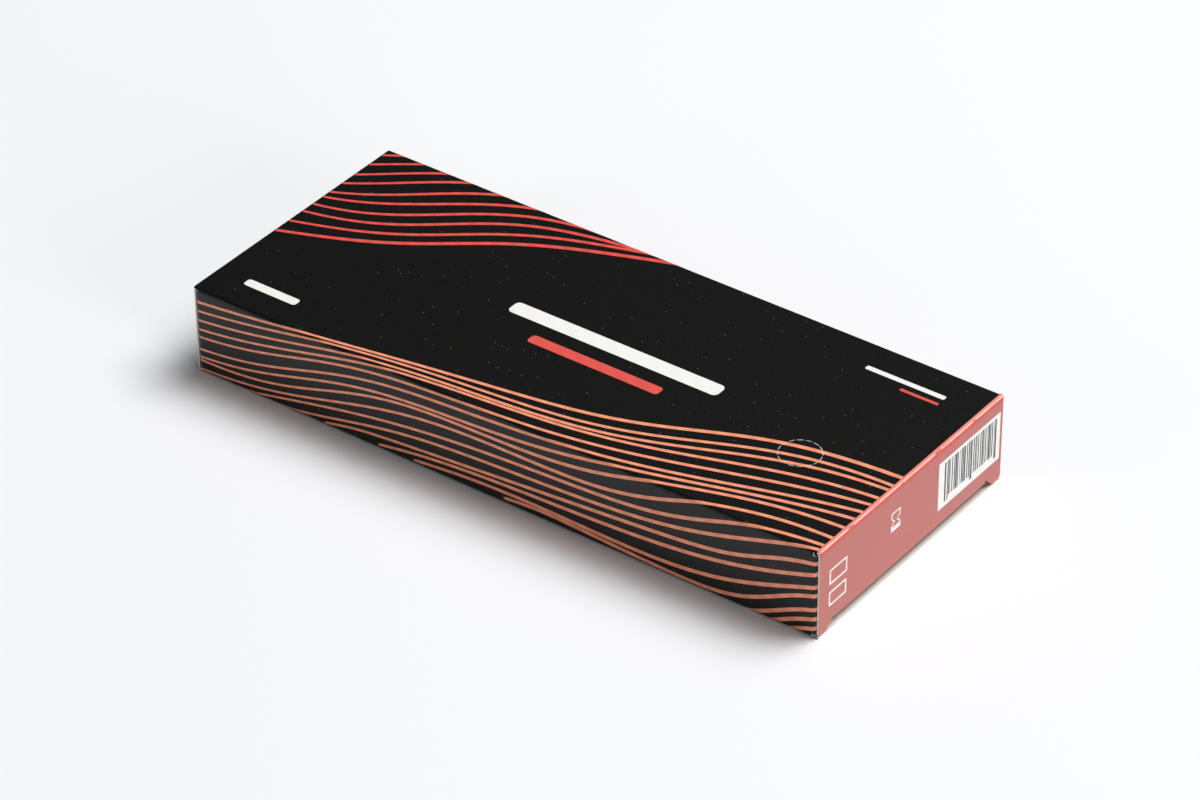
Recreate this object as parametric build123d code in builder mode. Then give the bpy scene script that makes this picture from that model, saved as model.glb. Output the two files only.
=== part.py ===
from build123d import *
import os
from math import asin, atan2, degrees, hypot

# Reverse tuck carton of folding board for one rapid test, with the kit packed inside.
# Millimetres. X runs along the carton, Y from its striped front panel to its back panel, and Z up
# from the underside, with the origin under the middle.

# Carton
carton_length = 206.0  # over both closed ends
carton_width = 86.5
carton_height = 27.5
board = 0.45  # thickness of the board
long_fold_radius = 1.2  # outside radius of the folds along the tube
lap_height = 13.0  # glued lap on the inside of the back panel
seam_step = 0.6  # how far the back panel's raw edge stops below the top face
crease_gap = 0.05  # running gap round the bead of a closure's crease

# Dust flaps, one at each end of the front and the back panel
dust_gap = 0.05  # between a dust flap and the closure that covers it
dust_fold_radius = 1.3
dust_flap_reach = 38.0  # from the outside of the carton to the flap's free end
dust_flap_taper = 16.0  # length of the slanting edge on the crease side
dust_flap_slope = 5.0  # height that the slanting edge falls
dust_flap_corner = 4.0
dust_crease_gap = 1.2  # from the closure's bead to the flap
dust_tuck_gap = 1.5  # from the closure's tuck fold to the flap

# Closures
closure_inset = 0.4  # from the carton's side to the closure's edge
ear_width = 4.2  # ear at its foot
ear_root = 7.6  # ear where its slit ends
slit_height = 3.9  # top of the slit above the outer face that the ears point at
ear_gap = 0.15  # between an ear's foot and the panel that it stands on
ear_corner = 1.2
tuck_fold_height = 2.4  # outer face of the tuck's fold above the carton's outer face
tuck_fold_radius = 0.75
tuck_length = 12.5
tuck_throat = 2.7  # where the tuck flap widens past its slits
tuck_side_gap = 1.45  # from the carton's side to the tuck flap's edge
tuck_corner = 8.0
tuck_swing_gap = 0.35  # between the tuck's swinging edge and the panel that it passes

# Kit
seat_gap = 0.05  # between a packed piece and what it lies on
kit_side_gap = 1.5  # from the kit to the carton's side walls
kit_gap = 1.0  # between pieces that lie side by side
kit_end_gap = 1.2  # from the tuck flaps to the longest piece

tube_length = 62.0
tube_radius = 5.6
tube_tip_radius = 2.6
tube_taper = 14.0
tube_flange_radius = 6.4
tube_flange = 1.4
tube_from_leaflet_end = 14.0

cap_length = 24.0
cap_wall = 0.8
cap_fit = 0.1  # between the tube's flange and the skirt that goes over it
cap_skirt = 9.5
cap_tip_radius = 1.9
cap_bore_radius = 0.6
cap_ribs = 18
cap_rib = 0.35
cap_from_tube = 14.0

leaflet_inset = 7.0  # how much shorter the leaflet is than the longest piece, at each end
leaflet_layer = 0.28
leaflet_layers = 4
leaflet_step = 0.8  # how far each layer's free edge stops short of the one below

pouch_inset = 15.0  # how much shorter the pouch is than the leaflet, at each end
pouch_bulge = 3.4  # height of each half above the seal
pouch_seal = 7.0
pouch_film = 0.3
pouch_shoulder = 9.0  # how far a half draws in from its seal to its flat
pouch_corner = 2.0
pouch_notch = 1.6

swab_width = 20.0
swab_film = 0.3
swab_bulge = 3.0  # height of the film drawn up over the shaft
swab_bulge_width = 9.0
swab_draft = 35.0  # slope of the drawn film's sides, in degrees
swab_seal = 8.0
swab_from_pouch_middle = -9.0

# Perforated circle that the tube stands in once its disc is pushed out
circle_slack = 0.6  # on the tube's diameter
circle_from_end = 28.5
circle_from_front = 33.0
perforation_width = 0.2
perforation_depth = 0.2
perforation_cuts = 16
nick = 0.7  # uncut board between two cuts

# Worked out from the sizes above
hinge_x = carton_length / 2 - board
hinge_z = carton_height - board
dust_face = hinge_x - dust_gap
bend_x = dust_face - dust_fold_radius
turn_over = Axis((0, 0, carton_height / 2), (0, 1, 0))

# Room for the kit: the tube and its cap lie along the back, the pouch beside them
cap_radius = tube_flange_radius + cap_fit + cap_wall
tube_y = carton_width / 2 - 2 * board - kit_side_gap - cap_radius - cap_rib
pouch_front = board + kit_side_gap - carton_width / 2
pouch_back = tube_y - cap_radius - cap_rib - kit_gap
swab_length = carton_length - 2 * (board + tuck_length + kit_end_gap)
leaflet_length = swab_length - 2 * leaflet_inset
leaflet_width = carton_width - 2 * (2 * board + kit_side_gap)
pouch_length = leaflet_length - 2 * pouch_inset
pouch_width = pouch_back - pouch_front
pouch_y = (pouch_front + pouch_back) / 2
tube_x = tube_from_leaflet_end - leaflet_length / 2
cap_x = tube_x + tube_length + cap_from_tube
circle_diameter = 2 * tube_radius + circle_slack

# The tuck flap leans inwards just enough for its edge to swing past the panel below
fold_drop = hinge_z - tuck_fold_height
swing_radius = hinge_z - board - tuck_swing_gap
fold_reach = hypot(board, fold_drop)
lean_share = (fold_reach**2 + tuck_length**2 - swing_radius**2) / (2 * tuck_length * fold_reach)
tuck_lean = degrees(asin(lean_share) - atan2(board, fold_drop))


def seal_notches(length, width, depth, inset):
    """Cut a tear notch into both long sides of a flat seal in the current sketch."""
    for side in (-1, 1):
        with Locations((length / 2 - inset, side * width / 2)):
            RegularPolygon(depth, 4, mode=Mode.SUBTRACT)


with BuildPart() as dust_flap:
    # Fold round the right end of the front panel
    fold_foot = long_fold_radius
    fold_head = hinge_z - board - crease_gap - dust_crease_gap / 2
    with BuildSketch(Plane.XY.offset(fold_foot)):
        with Locations((bend_x, dust_fold_radius - carton_width / 2)):
            Circle(dust_fold_radius)
            Circle(dust_fold_radius - board, mode=Mode.SUBTRACT)
            Rectangle(dust_fold_radius, dust_fold_radius, align=(Align.MIN, Align.MAX), mode=Mode.INTERSECT)
    extrude(amount=fold_head - fold_foot)
    # Flap, cut back from the tuck at its foot and slanting away from the crease at its head
    flap_foot = tuck_fold_height + board + dust_tuck_gap
    flap_head = hinge_z - board - dust_crease_gap
    flap_root = dust_fold_radius - carton_width / 2
    flap_end = dust_flap_reach - carton_width / 2
    with BuildSketch(Plane.YZ.offset(dust_face - board)):
        with BuildLine():
            Polyline(
                (flap_root, flap_foot),
                (flap_end, flap_foot),
                (flap_end, flap_head - dust_flap_slope),
                (flap_end - dust_flap_taper, flap_head),
                (flap_root, flap_head),
                close=True,
            )
        make_face()
        fillet(vertices().group_by(Axis.X)[-1], radius=dust_flap_corner)
    extrude(amount=board)

with BuildPart() as sleeve:
    # Tube section, with the lap inside the back panel and the seam beside the top's back fold
    with BuildSketch(Plane.YZ.offset(-carton_length / 2)):
        with Locations((0, carton_height / 2)):
            RectangleRounded(carton_width, carton_height, long_fold_radius)
            RectangleRounded(
                carton_width - 2 * board,
                carton_height - 2 * board,
                long_fold_radius - board,
                mode=Mode.SUBTRACT,
            )
        with Locations((carton_width / 2 - board, carton_height - board)):
            Rectangle(board, lap_height, align=(Align.MAX, Align.MAX))
        with Locations((carton_width / 2, carton_height)):
            Rectangle(board, seam_step, align=(Align.MAX, Align.MAX), mode=Mode.SUBTRACT)
        top_back = vertices().sort_by_distance((carton_width / 2 - board, carton_height))[0]
        fillet(top_back, radius=seam_step / 2)
    extrude(amount=carton_length)
    # Side panels and lap stop where the dust flaps fold; the top and bottom panels run on
    side_cut = carton_length / 2 - bend_x
    with Locations((bend_x + side_cut / 2, 0, carton_height / 2), (-bend_x - side_cut / 2, 0, carton_height / 2)):
        Box(side_cut, carton_width, carton_height - 2 * board, mode=Mode.SUBTRACT)
    # Right end of the top panel and left end of the bottom panel are hollowed round a closure's bead
    for x, z in ((hinge_x, hinge_z), (-hinge_x, board)):
        out = 1 if x > 0 else -1
        with Locations((x + out * board / 2, 0, z + out * board / 2)):
            Box(board, carton_width, board, mode=Mode.SUBTRACT)
        with Locations((x, 0, z)):
            Cylinder(board + crease_gap, carton_width, rotation=(90, 0, 0), mode=Mode.SUBTRACT)
    # Four dust flaps
    back_dust_flap = dust_flap.part.mirror(Plane.XZ)
    for flap in (dust_flap.part, back_dust_flap):
        add(flap)
        add(flap.rotate(turn_over, 180))
    # Broken cut round the disc that pushes out of the top panel
    with BuildSketch(Plane.XY.offset(carton_height)):
        with Locations((carton_length / 2 - circle_from_end, circle_from_front - carton_width / 2)):
            Circle(circle_diameter / 2 + perforation_width / 2)
            Circle(circle_diameter / 2 - perforation_width / 2, mode=Mode.SUBTRACT)
            with PolarLocations(circle_diameter / 2, perforation_cuts):
                Rectangle(2 * perforation_width, nick, mode=Mode.SUBTRACT)
    extrude(amount=-perforation_depth, mode=Mode.SUBTRACT)

with BuildPart() as right_closure:
    # Bead of the crease, in the groove at the end of the top panel
    closure_width = carton_width - 2 * closure_inset
    with Locations((hinge_x, 0, hinge_z)):
        Cylinder(board, closure_width, rotation=(90, 0, 0))
    # End panel between two ears that stand on the bottom panel
    half = carton_width / 2
    ear_foot = board + ear_gap
    with BuildSketch(Plane.YZ.offset(hinge_x)):
        with BuildLine():
            Polyline(
                (closure_inset - half, hinge_z),
                (closure_inset - half, ear_foot),
                (ear_width - half, ear_foot),
                (ear_root - half, slit_height),
                (half - ear_root, slit_height),
                (half - ear_width, ear_foot),
                (half - closure_inset, ear_foot),
                (half - closure_inset, hinge_z),
                close=True,
            )
        make_face()
        foot_corners = vertices().group_by(Axis.Y)[0].sort_by(Axis.X)
        fillet([foot_corners[0], foot_corners[-1]], radius=ear_corner)
    extrude(amount=board)
    # Tuck fold between the slits
    with BuildSketch(Plane((hinge_x + board, 0, tuck_fold_height), x_dir=(1, 0, 0), z_dir=(0, -1, 0))):
        with BuildLine():
            upright = Line((0, slit_height - tuck_fold_height), (0, 0))
            underside = PolarLine(upright @ 1, tuck_throat, 180 - tuck_lean)
            end = PolarLine(underside @ 1, board, 90 - tuck_lean)
            flap_face = PolarLine(end @ 1, tuck_throat * 2, -tuck_lean, mode=Mode.PRIVATE)
            inner_line = Line((-board, -carton_height), (-board, carton_height), mode=Mode.PRIVATE)
            crossing = flap_face.intersect(inner_line).vertices()[0]
            inner = (crossing.X, crossing.Y)
            Line(end @ 1, inner)
            Line(inner, (-board, slit_height - tuck_fold_height))
            Line((-board, slit_height - tuck_fold_height), upright @ 0)
        make_face()
        fillet(vertices().sort_by_distance((0, 0))[0], radius=tuck_fold_radius)
        fillet(vertices().sort_by_distance(inner)[0], radius=tuck_fold_radius - board)
    extrude(amount=half - ear_root, both=True)
    # Tuck flap, wide again past the slits, with rounded leading corners
    flap_plane = Plane((hinge_x + board, 0, tuck_fold_height), x_dir=(-1, 0, 0), z_dir=(0, 0, 1)).rotated(
        (0, tuck_lean, 0)
    )
    with BuildSketch(flap_plane):
        with BuildLine():
            Polyline(
                (tuck_throat / 2, half - ear_root),
                (tuck_throat, half - ear_width),
                (tuck_throat, half - tuck_side_gap),
                (tuck_length, half - tuck_side_gap),
                (tuck_length, tuck_side_gap - half),
                (tuck_throat, tuck_side_gap - half),
                (tuck_throat, ear_width - half),
                (tuck_throat / 2, ear_root - half),
                close=True,
            )
        make_face()
        fillet(vertices().group_by(Axis.X)[-1], radius=tuck_corner)
    extrude(amount=board)

with BuildPart() as left_closure:
    add(right_closure.part.rotate(turn_over, 180))

# Lowest face of the kit, and the level on top of the leaflet
kit_floor = board + seat_gap
leaflet_top = kit_floor + leaflet_layers * leaflet_layer

with BuildPart() as leaflet:
    # Layers of one folded sheet, each stopping a little short of the one below at its free edge
    for layer in range(leaflet_layers):
        with BuildSketch(Plane.XY.offset(kit_floor + layer * leaflet_layer)):
            with Locations((-layer * leaflet_step / 2, 0)):
                Rectangle(leaflet_length - layer * leaflet_step, leaflet_width)
        extrude(amount=leaflet_layer)
    fillet(edges().filter_by(Axis.Y).group_by(Axis.X)[0], radius=leaflet_layer * 0.45)

with BuildPart() as foil_pouch:
    pouch_plane = Plane((0, pouch_y, leaflet_top + seat_gap + pouch_bulge))
    # Flat seal all round, with a tear notch in each long side
    with BuildSketch(pouch_plane.offset(-pouch_film / 2)):
        RectangleRounded(pouch_length, pouch_width, pouch_corner)
        seal_notches(pouch_length, pouch_width, pouch_notch, 2 * pouch_seal)
    extrude(amount=pouch_film)
    # Pillow above and below the seal
    for side in (-1, 1):
        with BuildSketch(pouch_plane):
            RectangleRounded(pouch_length - 2 * pouch_seal, pouch_width - 2 * pouch_seal, pouch_shoulder)
        with BuildSketch(pouch_plane.offset(side * pouch_bulge)):
            RectangleRounded(
                pouch_length - 2 * (pouch_seal + pouch_shoulder),
                pouch_width - 2 * (pouch_seal + pouch_shoulder),
                pouch_shoulder / 2,
            )
        loft()

with BuildPart() as swab_pack:
    # Two films sealed flat, drawn up over the shaft and the tip
    swab_level = leaflet_top + 2 * seat_gap + 2 * pouch_bulge
    swab_plane = Plane((0, pouch_y + swab_from_pouch_middle, swab_level))
    with BuildSketch(swab_plane):
        RectangleRounded(swab_length, swab_width, pouch_corner)
        seal_notches(swab_length, swab_width, pouch_notch, 2 * swab_seal)
    extrude(amount=swab_film)
    with BuildSketch(swab_plane.offset(swab_film)):
        RectangleRounded(swab_length - 2 * swab_seal, swab_bulge_width, swab_bulge_width / 2.5)
    extrude(amount=swab_bulge, taper=swab_draft)
    fillet(edges().group_by(Axis.Z)[-1], radius=swab_bulge / 3)

with BuildPart() as buffer_tube:
    # Tube lying along X, with a tapered foot and a sealed flange at its mouth
    tube_axis_z = leaflet_top + seat_gap + tube_flange_radius
    with BuildSketch(Plane((tube_x, tube_y, tube_axis_z), x_dir=(1, 0, 0), z_dir=(0, -1, 0))):
        with BuildLine():
            Polyline(
                (0, 0),
                (0, tube_tip_radius),
                (tube_taper, tube_radius),
                (tube_length - tube_flange, tube_radius),
                (tube_length - tube_flange, tube_flange_radius),
                (tube_length, tube_flange_radius),
                (tube_length, 0),
                close=True,
            )
        make_face()
        fillet(vertices().sort_by_distance((0, tube_tip_radius))[0], radius=tube_tip_radius * 0.6)
        fillet(vertices().sort_by_distance((tube_taper, tube_radius))[0], radius=tube_taper)
    revolve(axis=Axis((tube_x, tube_y, tube_axis_z), (1, 0, 0)))

with BuildPart() as dropper_cap:
    # Open skirt that drives onto the tube, and a nozzle with a fine bore
    cap_axis_z = leaflet_top + seat_gap + cap_radius + cap_rib
    with BuildSketch(Plane((cap_x, tube_y, cap_axis_z), x_dir=(1, 0, 0), z_dir=(0, -1, 0))):
        with BuildLine():
            Polyline(
                (0, cap_radius - cap_wall),
                (0, cap_radius),
                (cap_skirt, cap_radius),
                (cap_skirt + cap_wall, cap_radius - 2 * cap_wall),
                (cap_length, cap_tip_radius),
                (cap_length, cap_bore_radius),
                (cap_skirt, cap_bore_radius),
                (cap_skirt, cap_radius - cap_wall),
                close=True,
            )
        make_face()
    revolve(axis=Axis((cap_x, tube_y, cap_axis_z), (1, 0, 0)))
    # Grip ribs round the skirt
    with BuildSketch(Plane((cap_x, tube_y, cap_axis_z), x_dir=(0, 1, 0), z_dir=(1, 0, 0))):
        with PolarLocations(cap_radius, cap_ribs):
            Circle(cap_rib)
        Circle(cap_radius - cap_wall / 2, mode=Mode.SUBTRACT)
    extrude(amount=cap_skirt)

pieces = {
    "sleeve": sleeve,
    "right_closure": right_closure,
    "left_closure": left_closure,
    "leaflet": leaflet,
    "foil_pouch": foil_pouch,
    "swab_pack": swab_pack,
    "buffer_tube": buffer_tube,
    "dropper_cap": dropper_cap,
}
os.makedirs("parts", exist_ok=True)
for name, piece in pieces.items():
    piece.part.label = name
    export_step(piece.part, f"parts/{name}.step")
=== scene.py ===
"""Looks of a tuck end carton for a rapid test: printed board, creases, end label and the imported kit.

Every length is in metres. X runs along the carton, Y across it from the front panel to the back panel and
Z up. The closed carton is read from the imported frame, and everything printed on it is laid out on the board's
outer face as if it were unrolled, then carried round the folds.
"""
from __future__ import annotations

import logging
import math
from dataclasses import dataclass
from enum import Enum
from typing import Callable

import bpy
import numpy as np
from mathutils import Matrix, Vector

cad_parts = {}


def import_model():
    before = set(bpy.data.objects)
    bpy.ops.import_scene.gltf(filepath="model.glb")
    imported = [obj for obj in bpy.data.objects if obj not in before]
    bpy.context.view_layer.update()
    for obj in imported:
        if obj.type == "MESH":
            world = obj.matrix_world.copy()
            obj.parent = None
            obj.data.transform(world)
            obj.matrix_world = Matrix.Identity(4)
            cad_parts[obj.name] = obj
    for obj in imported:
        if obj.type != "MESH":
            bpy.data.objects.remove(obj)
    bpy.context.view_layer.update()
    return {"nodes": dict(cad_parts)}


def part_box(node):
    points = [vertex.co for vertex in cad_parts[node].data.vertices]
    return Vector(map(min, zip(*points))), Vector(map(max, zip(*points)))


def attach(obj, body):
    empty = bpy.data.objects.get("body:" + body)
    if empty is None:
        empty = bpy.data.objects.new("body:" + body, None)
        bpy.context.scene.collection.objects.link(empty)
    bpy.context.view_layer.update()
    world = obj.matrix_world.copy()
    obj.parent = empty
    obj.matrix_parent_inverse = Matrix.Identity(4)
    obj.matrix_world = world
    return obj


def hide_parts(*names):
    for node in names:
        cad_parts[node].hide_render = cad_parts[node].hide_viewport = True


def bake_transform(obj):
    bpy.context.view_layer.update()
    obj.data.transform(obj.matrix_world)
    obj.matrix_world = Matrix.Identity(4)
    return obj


MM = 0.001
# A diagonal wave texture runs through 10 radians for each unit of X + Y + Z
DIAGONAL_WAVE = 2 * math.pi / 10 / math.sqrt(2)
log = logging.getLogger("carton")


class Body(Enum):
    """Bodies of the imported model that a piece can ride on."""

    CARTON = "carton"
    RIGHT_END = "right_end"
    LEFT_END = "left_end"


class Slot(Enum):
    """Material slots of the record."""

    BOARD = "printed_board"
    LEAFLET = "leaflet_paper"
    FOIL = "foil_laminate"
    PEEL = "peel_paper"
    TUBE = "tube_plastic"
    CAP = "cap_plastic"


def linear(colour: str) -> tuple[float, float, float, float]:
    """Turn an sRGB hex colour into linear light.

    Args:
        colour: Six hex digits after a hash sign.

    Returns:
        Red, green, blue and alpha, linear, with alpha 1.
    """
    channels = np.array([int(colour[i : i + 2], 16) for i in (1, 3, 5)]) / 255
    toe = channels / 12.92
    curve = ((channels + 0.055) / 1.055) ** 2.4
    red, green, blue = np.where(channels <= 0.04045, toe, curve)
    return float(red), float(green), float(blue), 1.0


def add_node(tree: bpy.types.NodeTree, kind: str, inputs: dict | None = None, **settings) -> bpy.types.Node:
    """Add a shader node with its settings and links.

    Args:
        tree: Node tree that takes the node.
        kind: Blender's name of the node type.
        inputs: Socket name or number to a value, or to another node's output socket.
        settings: Properties of the node.

    Returns:
        The new node.
    """
    node = tree.nodes.new(kind)
    for name, value in settings.items():
        setattr(node, name, value)
    for key, value in (inputs or {}).items():
        if isinstance(value, bpy.types.NodeSocket):
            tree.links.new(value, node.inputs[key])
        else:
            node.inputs[key].default_value = value
    return node


def start_material(name: str) -> tuple[bpy.types.Material, bpy.types.Node, bpy.types.NodeSocket]:
    """Make a material that is still plain.

    Args:
        name: Its name.

    Returns:
        The material, its surface shader and the socket of the object coordinates.
    """
    material = bpy.data.materials.new(name)
    material.use_nodes = True
    tree = material.node_tree
    return material, tree.nodes["Principled BSDF"], add_node(tree, "ShaderNodeTexCoord").outputs["Object"]


def make_piece(
    name: str, points: np.ndarray, faces: list, material: bpy.types.Material, smooth: bool = False
) -> bpy.types.Object:
    """Make an object at the origin from points and faces.

    Args:
        name: Name of the piece.
        points: Its points, one row each.
        faces: Its faces, each a row of point numbers that runs counter-clockwise seen from outside.
        material: Its finish.
        smooth: Whether its faces are shaded smooth.

    Returns:
        The new object.
    """
    mesh = bpy.data.meshes.new(name)
    mesh.from_pydata(points.tolist(), [], faces)
    mesh.update()
    if smooth:
        mesh.polygons.foreach_set("use_smooth", np.ones(len(mesh.polygons), dtype=bool))
    mesh.materials.append(material)
    piece = bpy.data.objects.new(name, mesh)
    bpy.context.scene.collection.objects.link(piece)
    return piece


def dress_faces(node: bpy.types.Object, finishes: tuple[bpy.types.Material, ...], choose: Callable) -> None:
    """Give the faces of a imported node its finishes.

    Args:
        node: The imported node's object.
        finishes: Its materials.
        choose: Function of the faces' middles and normals, each as X, Y and Z, that gives every face the
            number of its material.
    """
    mesh = node.data
    mesh.materials.clear()
    for finish in finishes:
        mesh.materials.append(finish)
    middle = np.empty(len(mesh.polygons) * 3)
    normal = np.empty(len(mesh.polygons) * 3)
    mesh.polygons.foreach_get("center", middle)
    mesh.polygons.foreach_get("normal", normal)
    chosen = choose(middle.reshape(-1, 3).T, normal.reshape(-1, 3).T)
    mesh.polygons.foreach_set("material_index", chosen.astype(np.int32))
    mesh.update()


def ease(share: np.ndarray) -> np.ndarray:
    """Smooth step: 3u squared less 2u cubed, held at 0 and 1 outside the step."""
    held = np.clip(share, 0, 1)
    return held * held * (3 - 2 * held)


@dataclass(frozen=True)
class CartonSizes:
    """Outside sizes of the closed carton and the sizes of its board.

    The folds and the board repeat the construction's own values.
    """

    length: float
    width: float
    height: float
    board: float = 0.45 * MM
    fold: float = 1.2 * MM
    end_fold: float = 1.3 * MM
    end_set_back: float = 0.5 * MM

    @classmethod
    def from_frame(cls) -> CartonSizes:
        """Read the carton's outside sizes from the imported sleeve."""
        low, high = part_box("sleeve")
        return cls(high.x - low.x, high.y - low.y, high.z - low.z)

    @property
    def end(self) -> float:
        """Place of the right end along X."""
        return self.length / 2

    @property
    def side(self) -> float:
        """Place of the back panel's outer face along Y."""
        return self.width / 2

    @property
    def bend(self) -> float:
        """Place along X where a side panel starts to turn into its dust flap."""
        return self.end - self.end_set_back - self.end_fold


@dataclass(frozen=True)
class BoardSkin:
    """The board's outer face, unrolled.

    s runs along the carton from its left end. v runs across it: 0 at the top front edge, positive over the
    top and down the back panel, negative down the front panel.
    """

    sizes: CartonSizes

    def point(self, s: np.ndarray, v: np.ndarray, lift: float) -> np.ndarray:
        """Fold unrolled places round the carton.

        The place on a box with sharp edges is pulled in to a core that is smaller by the fold radius, then
        pushed out again along a normal that turns through a right angle within one radius of each edge. Past
        the side panels' ends the same is done round the upright folds of the dust flaps.

        Args:
            s: Places along the carton.
            v: Places across it, of the same shape as s.
            lift: Height above the board's face.

        Returns:
            Points with a last axis of X, Y and Z.
        """
        c = self.sizes
        radius = c.fold
        under_front = np.clip(-c.height - v, 0, None)
        y = np.clip(v, 0, c.width) - c.side + under_front
        z = c.height + np.clip(v, -c.height, 0) - np.clip(v - c.width, 0, c.height)
        corners = (-c.height, 0, c.width, c.width + c.height)
        turned = sum(np.clip((v - corner + radius) / (2 * radius), 0, 1) for corner in corners) - 1
        normal_y = -np.cos(turned * math.pi / 2)
        normal_z = np.sin(turned * math.pi / 2)
        core_y = np.clip(y, radius - c.side, c.side - radius)
        core_z = np.clip(z, radius, c.height - radius)
        x = s - c.end
        y = core_y + (radius + lift) * normal_y
        z = core_z + (radius + lift) * normal_z
        on_side = np.clip((np.abs(normal_y) - 0.9) / 0.1, 0, 1)
        angle = np.clip((np.abs(x) - c.bend) / c.end_fold, 0, math.pi / 2)
        bent_x = np.sign(x) * (c.bend + (c.end_fold + lift) * np.sin(angle))
        bent_y = np.sign(y) * (c.side - c.end_fold + (c.end_fold + lift) * np.cos(angle))
        share = on_side * (angle > 0)
        x = x + share * (bent_x - x)
        y = y + share * (bent_y - y)
        return np.stack([x, y, z], -1)


class MeshParts:
    """Collects closed strips and plates, then turns them into one object."""

    def __init__(self) -> None:
        """Start empty."""
        self.points: list[np.ndarray] = []
        self.faces: list[tuple[int, ...]] = []
        self.count = 0

    def add(self, points: np.ndarray, faces: list[tuple[int, ...]]) -> None:
        """Add one closed shape.

        Args:
            points: Its points, one row each.
            faces: Its faces, counted from its own first point.
        """
        self.points.append(points)
        self.faces.extend(tuple(i + self.count for i in face) for face in faces)
        self.count += len(points)

    def add_tube(self, rings: np.ndarray) -> None:
        """Add a strip given as a row of closed rings, with a cap on both ends.

        Args:
            rings: Points of shape rings, points in a ring, 3. Seen along the strip, a ring runs clockwise.
        """
        rows, around, _ = rings.shape
        index = np.arange(rows * around).reshape(rows, around)
        ahead = np.roll(index, -1, axis=1)
        quads = np.stack([index[:-1], ahead[:-1], ahead[1:], index[1:]], -1).reshape(-1, 4)
        faces = [tuple(quad) for quad in quads.tolist()]
        faces.append(tuple(index[0, ::-1].tolist()))
        faces.append(tuple(index[-1].tolist()))
        self.add(rings.reshape(-1, 3), faces)

    def add_plate(
        self, loops: list[np.ndarray], place: Callable, thickness: float, base: float = 0.0
    ) -> None:
        """Add a flat plate with straight sides, or a flat frame when two loops are given.

        Args:
            loops: One outline, or an outer and an inner one of as many points, each counter-clockwise.
            place: Function of two flat coordinates and a height that gives points.
            thickness: Height of the plate.
            base: Height of its underside.
        """
        count = len(loops[0])
        heights = (base, base + thickness)
        levels = [place(loop[:, 0], loop[:, 1], height) for height in heights for loop in loops]
        low_outer, top_outer = 0, len(loops)
        here = np.arange(count)
        after = np.roll(here, -1)

        def band(first: int, second: int) -> list[tuple[int, ...]]:
            """Quads between two levels, each a loop of points."""
            a, b = first * count, second * count
            return [tuple(q) for q in np.stack([here + a, after + a, after + b, here + b], -1).tolist()]

        faces = band(low_outer, top_outer)
        if len(loops) == 1:
            faces.append(tuple((here[::-1]).tolist()))
            faces.append(tuple((here + count).tolist()))
        else:
            faces += band(3, 1) + band(top_outer, 3) + band(1, low_outer)
        self.add(np.concatenate(levels), faces)

    def build(self, name: str, material: bpy.types.Material) -> bpy.types.Object:
        """Make the object that holds everything added so far.

        Args:
            name: Name of the piece.
            material: Its finish.

        Returns:
            The new object, at the origin.
        """
        return make_piece(name, np.concatenate(self.points), self.faces, material)


def rounded_outline(width: float, height: float, radius: float, steps: int = 6) -> np.ndarray:
    """Outline of a rounded rectangle about the origin, as four quarter circles.

    Args:
        width: Overall size along the first coordinate.
        height: Overall size along the second.
        radius: Corner radius.
        steps: Points in each corner, less one.

    Returns:
        Points of the outline, counter-clockwise.
    """
    turn = np.linspace(0, math.pi / 2, steps + 1)
    quarter = np.arange(4)[:, None] * math.pi / 2 + turn[None, :]
    sign_x = np.array([1, -1, -1, 1])[:, None]
    sign_y = np.array([1, 1, -1, -1])[:, None]
    x = sign_x * (width / 2 - radius) + radius * np.cos(quarter)
    y = sign_y * (height / 2 - radius) + radius * np.sin(quarter)
    return np.stack([x.ravel(), y.ravel()], -1)


# Finishes


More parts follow.
